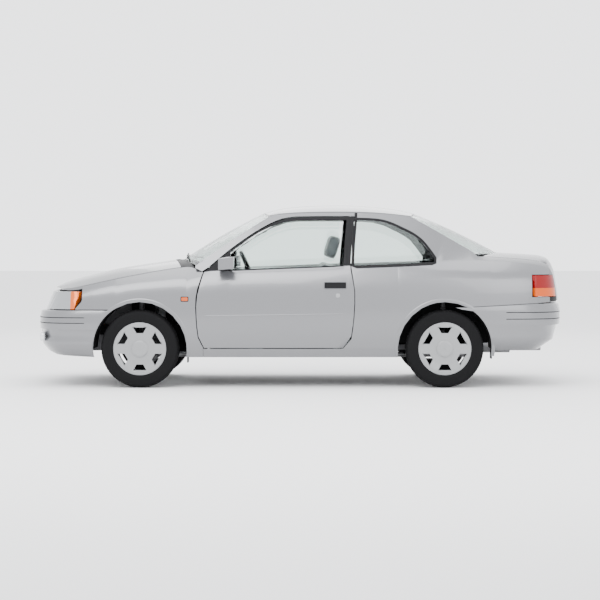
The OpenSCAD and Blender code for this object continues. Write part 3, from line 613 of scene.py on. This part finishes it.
class COUPE_OT_seats(bpy.types.Operator):
    """Builds the padded seats: cushions, backrests and headrests"""
    bl_idname = "coupe.seats"
    bl_label = "Seats"

    def execute(self, context):
        low, high = (np.array(v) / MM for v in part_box("front_seats"))
        made = []
        for hand, sign in SIDES.items():
            y = sign * (high[1] - low[1] - 500) / 2
            made += [
                cushion(f"front_cushion_{hand}", (low[0] + 265, y, low[2] + 130), (262, 246, 92), 0.0),
                cushion(f"front_backrest_{hand}", (high[0] - 175, y, low[2] + 440), (85, 240, 270), RAKE),
                cushion(f"headrest_{hand}", (high[0] - 70, y, high[2] - 92), (48, 135, 88), RAKE)]
        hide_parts("front_seats")
        low, high = (np.array(v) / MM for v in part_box("rear_seat"))
        half = (high[1] - low[1]) / 2
        base = cushion("rear_cushion", (low[0] + 240, 0, low[2] + 120), (235, half - 8, 100), 0.0)
        made += [base, cushion("rear_backrest", (high[0] - 120, 0, high[2] - 275),
                               (80, half - 10, 262), RAKE)]
        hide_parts("rear_seat")
        return {"FINISHED"}


def cushion(name, centre, half, turn):
    """A cushion: a rounded block with a shallow dish and stitched flutes, waves that fade at its edges."""
    p = superform(np.zeros(3), half, 0.42, 0.0, 40, 72)
    flute = 3.0 * np.cos(p[..., 1] / 34) * (1 - np.abs(p[..., 1] / half[1]) ** 4)
    thin = int(np.argmin(half))
    p[..., thin] += np.where(p[..., thin] > 0, 1, -1) * (flute - 4)
    c, s = math.cos(turn), math.sin(turn)
    p = np.stack([p[..., 0] * c + p[..., 2] * s, p[..., 1], p[..., 2] * c - p[..., 0] * s], -1)
    return surface(name, p + np.array(centre), "root", FINISHES["cloth"])


# The stage, in metres, degrees and millimetres of lens.
FLOOR_REACH, CAMERA_PLACE, CAMERA_DIP, LENS = 60.0, (0, -15.8, 1.14), 1.73, 115.5


class COUPE_OT_stage(bpy.types.Operator):
    """Builds the pale floor, the soft lights and the camera"""
    bl_idname = "coupe.stage"
    bl_label = "Stage"

    def execute(self, context):
        mesh = bpy.data.meshes.new("floor")
        r = FLOOR_REACH
        mesh.from_pydata([(-r, -r, 0), (r, -r, 0), (r, r, 0), (-r, r, 0)], [], [(0, 1, 2, 3)])
        floor = bpy.data.objects.new("floor", mesh)
        mesh.materials.append(finish("floor_paper", (0.88, 0.88, 0.88), 0.9, 0.0, 3, 0.02))
        bpy.context.scene.collection.objects.link(floor)
        world = bpy.data.worlds.new("studio")
        bpy.context.scene.world = world
        world.use_nodes = True
        tree = world.node_tree
        sky, path, level = tree.nodes["Background"], tree.nodes.new("ShaderNodeLightPath"), \
            tree.nodes.new("ShaderNodeMapRange")
        sky.inputs["Color"].default_value = (0.95, 0.96, 0.98, 1)
        level.inputs["To Min"].default_value, level.inputs["To Max"].default_value = 2.6, 3.0
        tree.links.new(path.outputs["Is Camera Ray"], level.inputs["Value"])
        tree.links.new(level.outputs["Result"], sky.inputs["Strength"])
        for name, spot, size, power in (("key", (-2, -6, 6), 5, 420), ("fill", (4, -7, 3), 4, 120),
                                        ("top", (0, 0, 7), 6, 260), ("back", (0, 7, 5), 5, 160)):
            light = bpy.data.lights.new(name, "AREA")
            light.size, light.energy = size, power
            lamp = bpy.data.objects.new(name, light)
            lamp.location = spot
            lamp.rotation_euler = aim(spot, (0, 0, 0.6))
            bpy.context.scene.collection.objects.link(lamp)
        data = bpy.data.cameras.new("camera")
        data.lens, data.sensor_width = LENS, 36
        data.clip_end = 200
        camera = bpy.data.objects.new("camera", data)
        camera.location = CAMERA_PLACE
        camera.rotation_euler = (math.radians(90 - CAMERA_DIP), 0, 0)
        bpy.context.scene.collection.objects.link(camera)
        bpy.context.scene.camera = camera
        return {"FINISHED"}


def aim(spot, at):
    """The turn that points a light from one place at another."""
    return (Vector(at) - Vector(spot)).to_track_quat("-Z", "Y").to_euler()


STEPS = ("finishes", "panels", "plain", "wheels", "trim", "seats", "stage")


class COUPE_PT_panel(bpy.types.Panel):
    """Lists the coupe's colours and operators"""
    bl_idname = "COUPE_PT_panel"
    bl_label = "Coupe car"
    bl_space_type = "VIEW_3D"
    bl_region_type = "UI"
    bl_category = "Coupe"

    def draw(self, context):
        for name in CoupeLooks.__annotations__:
            self.layout.prop(context.scene.coupe_looks, name)
        for step in STEPS:
            self.layout.operator("coupe." + step)


CLASSES = (CoupeLooks, COUPE_OT_finishes, COUPE_OT_panels, COUPE_OT_plain, COUPE_OT_wheels, COUPE_OT_trim,
           COUPE_OT_seats, COUPE_OT_stage, COUPE_PT_panel)


def register():
    for item in CLASSES:
        bpy.utils.register_class(item)
    bpy.types.Scene.coupe_looks = bpy.props.PointerProperty(type=CoupeLooks)


def unregister():
    del bpy.types.Scene.coupe_looks
    for item in reversed(CLASSES):
        bpy.utils.unregister_class(item)


def main():
    register()
    for step in STEPS:
        getattr(bpy.ops.coupe, step)()


if __name__ == "__main__":
    main()
